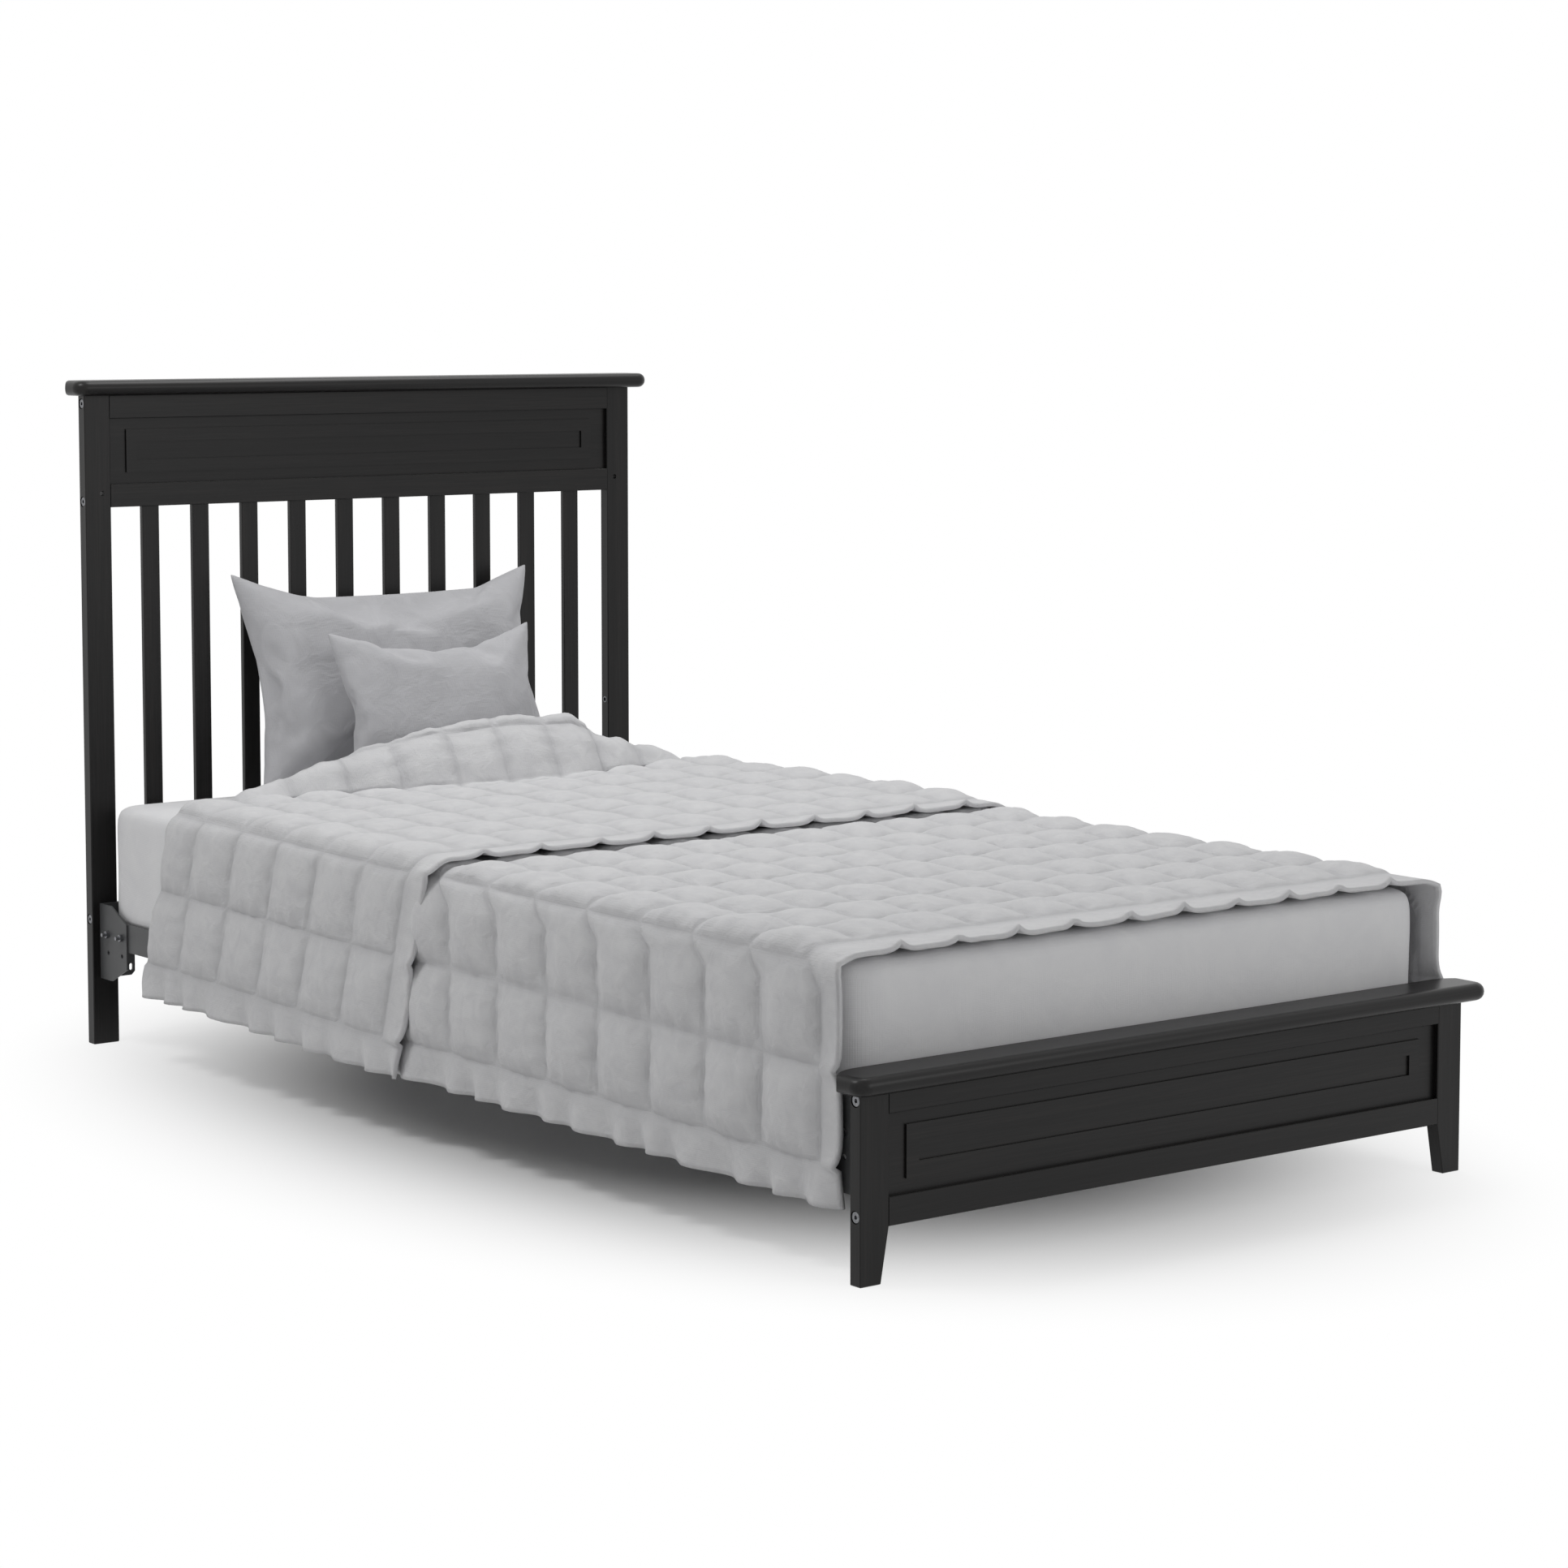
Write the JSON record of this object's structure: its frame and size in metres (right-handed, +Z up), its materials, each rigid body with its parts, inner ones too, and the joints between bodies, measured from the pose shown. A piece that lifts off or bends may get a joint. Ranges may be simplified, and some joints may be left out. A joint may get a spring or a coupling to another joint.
{
  "type": "mini crib",
  "caption": "Convertible mini crib set up as a child's bed: slatted headboard, low footboard, steel side rails and cross bars, with mattress, quilt and pillows.",
  "frame": {"origin": "on the floor, at the centre of the bed's outline", "axes": "+Z up, +Y from the footboard to the headboard, +X to the right as seen from the foot"},
  "size_m": [1.078, 1.985, 1.0394],
  "materials": {
    "espresso_wood": "dark brown-black satin lacquer",
    "dark_steel": "dark grey satin powder coat",
    "zinc_steel": "dark zinc-plated steel",
    "sheet_cotton": "white plain-woven cotton sheet",
    "quilt_cotton": "white washed cotton, sewn in squares",
    "pillow_linen": "off-white washed cotton"
  },
  "bodies": {
    "bed_frame": {"bracket_bolts": "zinc_steel", "cross_bar_1": "dark_steel", "cross_bar_2": "dark_steel", "cross_bar_3": "dark_steel", "cross_bar_4": "dark_steel", "cross_bar_5": "dark_steel", "foot_bracket_left": "dark_steel", "foot_bracket_right": "dark_steel", "footboard_bottom_rail": "espresso_wood", "footboard_cap": "espresso_wood", "footboard_panel": "espresso_wood", "footboard_post_left": "espresso_wood", "footboard_post_right": "espresso_wood", "footboard_screws": "zinc_steel", "footboard_top_rail": "espresso_wood", "head_bracket_left": "dark_steel", "head_bracket_right": "dark_steel", "headboard_bottom_rail": "espresso_wood", "headboard_cap": "espresso_wood", "headboard_inserts": "zinc_steel", "headboard_panel": "espresso_wood", "headboard_panel_rail": "espresso_wood", "headboard_post_left": "espresso_wood", "headboard_post_right": "espresso_wood", "headboard_screws": "zinc_steel", "headboard_slat_01": "espresso_wood", "headboard_slat_02": "espresso_wood", "headboard_slat_03": "espresso_wood", "headboard_slat_04": "espresso_wood", "headboard_slat_05": "espresso_wood", "headboard_slat_06": "espresso_wood", "headboard_slat_07": "espresso_wood", "headboard_slat_08": "espresso_wood", "headboard_slat_09": "espresso_wood", "headboard_slat_10": "espresso_wood", "headboard_top_rail": "espresso_wood", "rail_bolts": "zinc_steel", "rail_nuts": "zinc_steel", "side_rail_left": "dark_steel", "side_rail_right": "dark_steel"},
    "mattress_body": {"mattress": "sheet_cotton"},
    "quilt_body": {"quilt": "quilt_cotton"},
    "pillow_large_body": {"pillow_large": "pillow_linen"},
    "pillow_small_body": {"pillow_small": "pillow_linen"}
  },
  "joints": [
    {"name": "mattress_lift", "type": "slide", "parent": "bed_frame", "child": "mattress_body", "axis": [0, 0, 1], "range_m": [0, 0.1]},
    {"name": "quilt_lift", "type": "slide", "parent": "mattress_body", "child": "quilt_body", "axis": [0, 0, 1], "range_m": [0, 0.25]},
    {"name": "pillow_large_lift", "type": "slide", "parent": "mattress_body", "child": "pillow_large_body", "axis": [0, 0, 1], "range_m": [0, 0.17]},
    {"name": "pillow_small_lift", "type": "slide", "parent": "pillow_large_body", "child": "pillow_small_body", "axis": [0, 0, 1], "range_m": [0, 0.25]}
  ]
}
